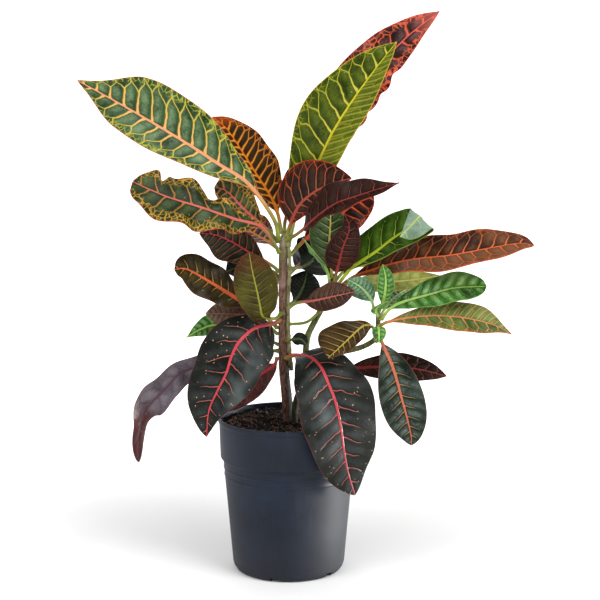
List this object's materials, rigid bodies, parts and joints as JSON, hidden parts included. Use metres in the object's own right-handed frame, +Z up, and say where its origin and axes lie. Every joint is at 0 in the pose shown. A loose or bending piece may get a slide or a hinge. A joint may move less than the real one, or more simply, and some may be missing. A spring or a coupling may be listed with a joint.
{
  "type": "potted plant",
  "caption": "Bushy croton with broad leathery patterned leaves on woody stems, rooted in a soil-filled tapered nursery pot with a banded rim.",
  "frame": {"origin": "centre of the pot's underside, on the flat pad that stands on the table", "axes": "+Z up the pot's axis, +X to the viewer's right and +Y away from the viewer of the picture"},
  "size_m": [0.4264, 0.2001, 0.5495],
  "materials": {
    "pot_plastic": "matte moulded",
    "potting_mix": "crumbly",
    "bark": "rough bark",
    "leaf_blue_green": "waxy",
    "leaf_lime_green": "waxy",
    "leaf_fresh_green": "waxy",
    "leaf_pale_green": "waxy",
    "leaf_dark_orange": "waxy",
    "leaf_dark_pink": "waxy",
    "leaf_red_pink": "waxy",
    "leaf_maroon": "waxy",
    "leaf_olive": "waxy",
    "leaf_brown_orange": "waxy",
    "leaf_purple_grey": "waxy",
    "leaf_red_underside": "waxy",
    "leaf_black_green": "waxy"
  },
  "bodies": {
    "root": {"pot": "pot_plastic", "soil": "potting_mix", "stem_main": "bark", "stem_second": "bark", "leaf_top_left": "leaf_blue_green", "leaf_top_upright": "leaf_dark_orange", "leaf_top_right": "leaf_lime_green", "leaf_top_right_rear": "leaf_red_pink", "leaf_crown_maroon": "leaf_maroon", "leaf_crown_maroon_long": "leaf_maroon", "leaf_crown_rear_right": "leaf_dark_orange", "leaf_left_crumpled": "leaf_blue_green", "leaf_left_inner": "leaf_dark_pink", "leaf_left_drooping": "leaf_dark_pink", "leaf_left_small_dark": "leaf_black_green", "leaf_left_olive": "leaf_olive", "leaf_centre_olive": "leaf_olive", "leaf_left_brown": "leaf_brown_orange", "leaf_left_curled_green": "leaf_fresh_green", "leaf_low_left": "leaf_dark_pink", "leaf_low_left_hanging": "leaf_purple_grey", "leaf_low_left_red_underside": "leaf_red_underside", "leaf_low_right": "leaf_dark_pink", "leaf_centre_rear": "leaf_black_green", "leaf_centre_brown": "leaf_brown_orange", "leaf_centre_withered": "leaf_black_green", "leaf_right_pale": "leaf_pale_green", "leaf_right_long_brown": "leaf_brown_orange", "leaf_mid_upright_green": "leaf_lime_green", "leaf_mid_maroon": "leaf_maroon", "leaf_mid_narrow": "leaf_fresh_green", "leaf_mid_folded_tip": "leaf_lime_green", "leaf_low_right_maroon": "leaf_maroon", "leaf_shoot_long_green": "leaf_fresh_green", "leaf_shoot_orange_margin": "leaf_blue_green", "leaf_shoot_glaucous": "leaf_pale_green", "leaf_shoot_upright": "leaf_fresh_green", "leaf_shoot_young_top": "leaf_fresh_green", "leaf_shoot_young_low": "leaf_fresh_green", "leaf_shoot_olive": "leaf_olive", "leaf_shoot_hanging": "leaf_dark_pink", "leaf_rear_crown_right": "leaf_maroon", "leaf_rear_crown_left": "leaf_dark_orange", "leaf_rear_upper": "leaf_dark_pink", "leaf_rear_left": "leaf_olive", "leaf_rear_centre": "leaf_black_green", "leaf_rear_low_left": "leaf_dark_pink", "leaf_rear_low_right": "leaf_dark_pink", "leaf_rear_mid": "leaf_lime_green", "leaf_rear_right": "leaf_brown_orange", "leaf_rear_shoot": "leaf_fresh_green"}
  },
  "joints": []
}
